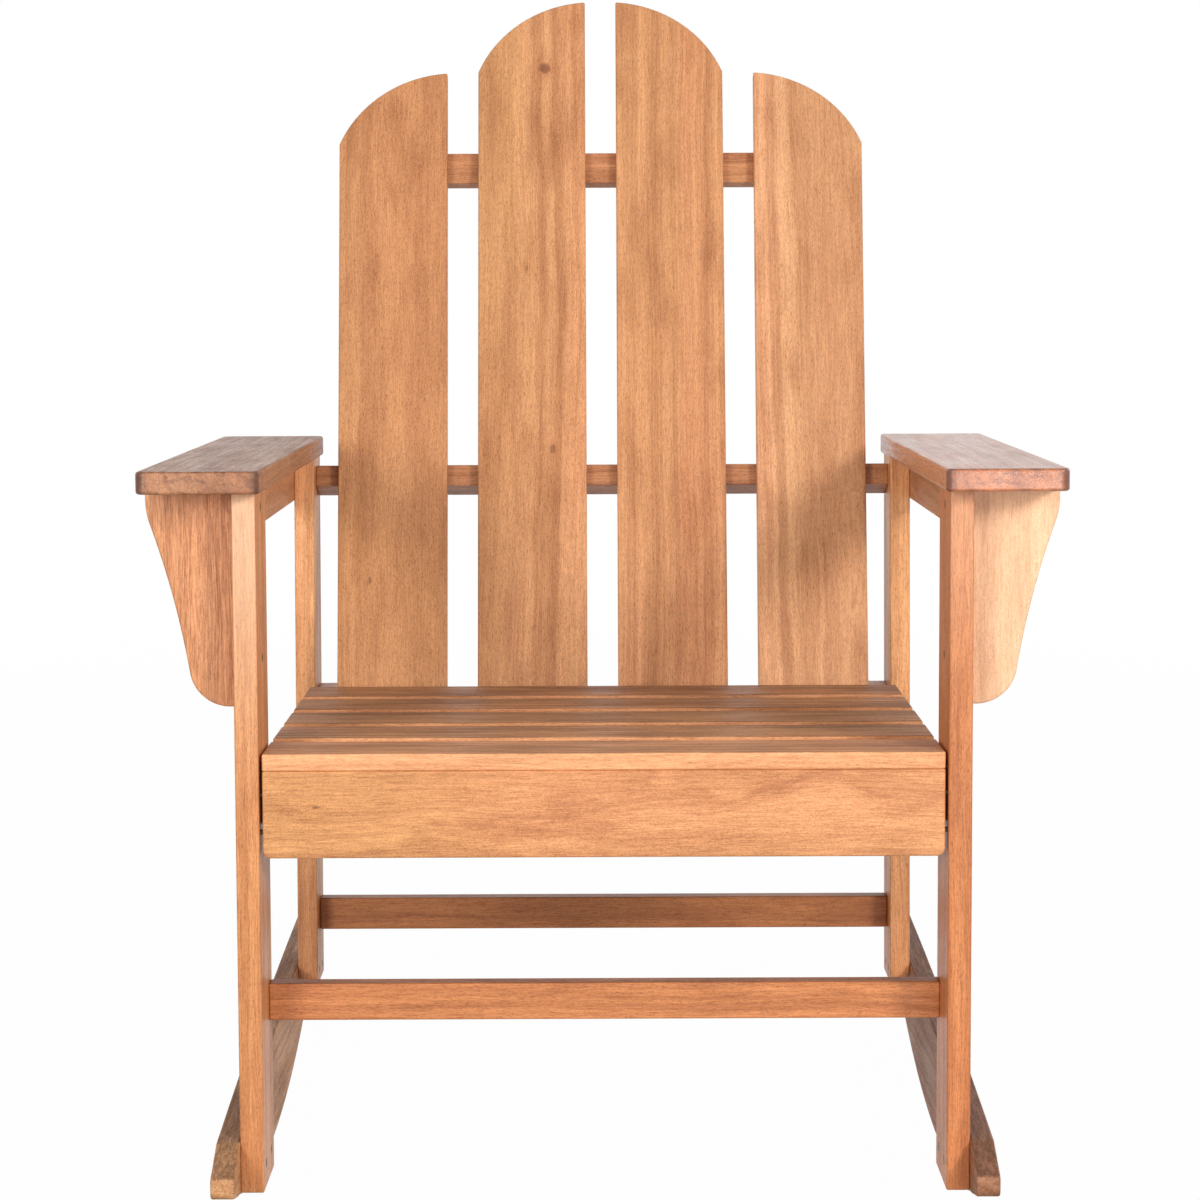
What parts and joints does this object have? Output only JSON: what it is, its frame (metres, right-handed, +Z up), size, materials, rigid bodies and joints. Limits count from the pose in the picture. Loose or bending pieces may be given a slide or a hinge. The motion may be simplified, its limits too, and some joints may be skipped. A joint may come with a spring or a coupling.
{
  "type": "rocking adirondack chair",
  "caption": "Wooden garden rocking chair with a slatted seat, a leaning back of round-topped slats, broad flat arms on shaped brackets, and curved rockers.",
  "frame": {"origin": "middle of the chair's bounding box on the floor that the rockers rest on", "axes": "+Z up, +Y towards the back, +X towards the right as seen from the front"},
  "size_m": [0.73, 0.8956, 0.9796],
  "materials": {
    "hardwood": "oiled orange-brown hardwood, satin",
    "screw_steel": "yellowish zinc, dull"
  },
  "bodies": {
    "root": {"apron_screws": "screw_steel", "arm_bracket_left": "hardwood", "arm_bracket_right": "hardwood", "arm_rail_left": "hardwood", "arm_rail_right": "hardwood", "arm_rail_screws": "screw_steel", "armrest_left": "hardwood", "armrest_right": "hardwood", "armrest_screws": "screw_steel", "back_slat_inner_left": "hardwood", "back_slat_inner_right": "hardwood", "back_slat_outer_left": "hardwood", "back_slat_outer_right": "hardwood", "bracket_screws": "screw_steel", "foot_back_bar": "hardwood", "foot_bar_end_screws": "screw_steel", "foot_bar_screws": "screw_steel", "front_apron": "hardwood", "front_leg_left": "hardwood", "front_leg_right": "hardwood", "front_stretcher": "hardwood", "lower_back_bar": "hardwood", "lower_bar_end_screws": "screw_steel", "lower_bar_screws": "screw_steel", "rear_leg_left": "hardwood", "rear_leg_right": "hardwood", "rear_stretcher": "hardwood", "rocker_left": "hardwood", "rocker_right": "hardwood", "rocker_screws": "screw_steel", "seat_rail_left": "hardwood", "seat_rail_right": "hardwood", "seat_rail_screws": "screw_steel", "seat_slat_1": "hardwood", "seat_slat_2": "hardwood", "seat_slat_3": "hardwood", "seat_slat_4": "hardwood", "seat_slat_5": "hardwood", "seat_slat_screws": "screw_steel", "stretcher_screws": "screw_steel", "upper_back_bar": "hardwood", "upper_bar_screws": "screw_steel"}
  },
  "joints": []
}
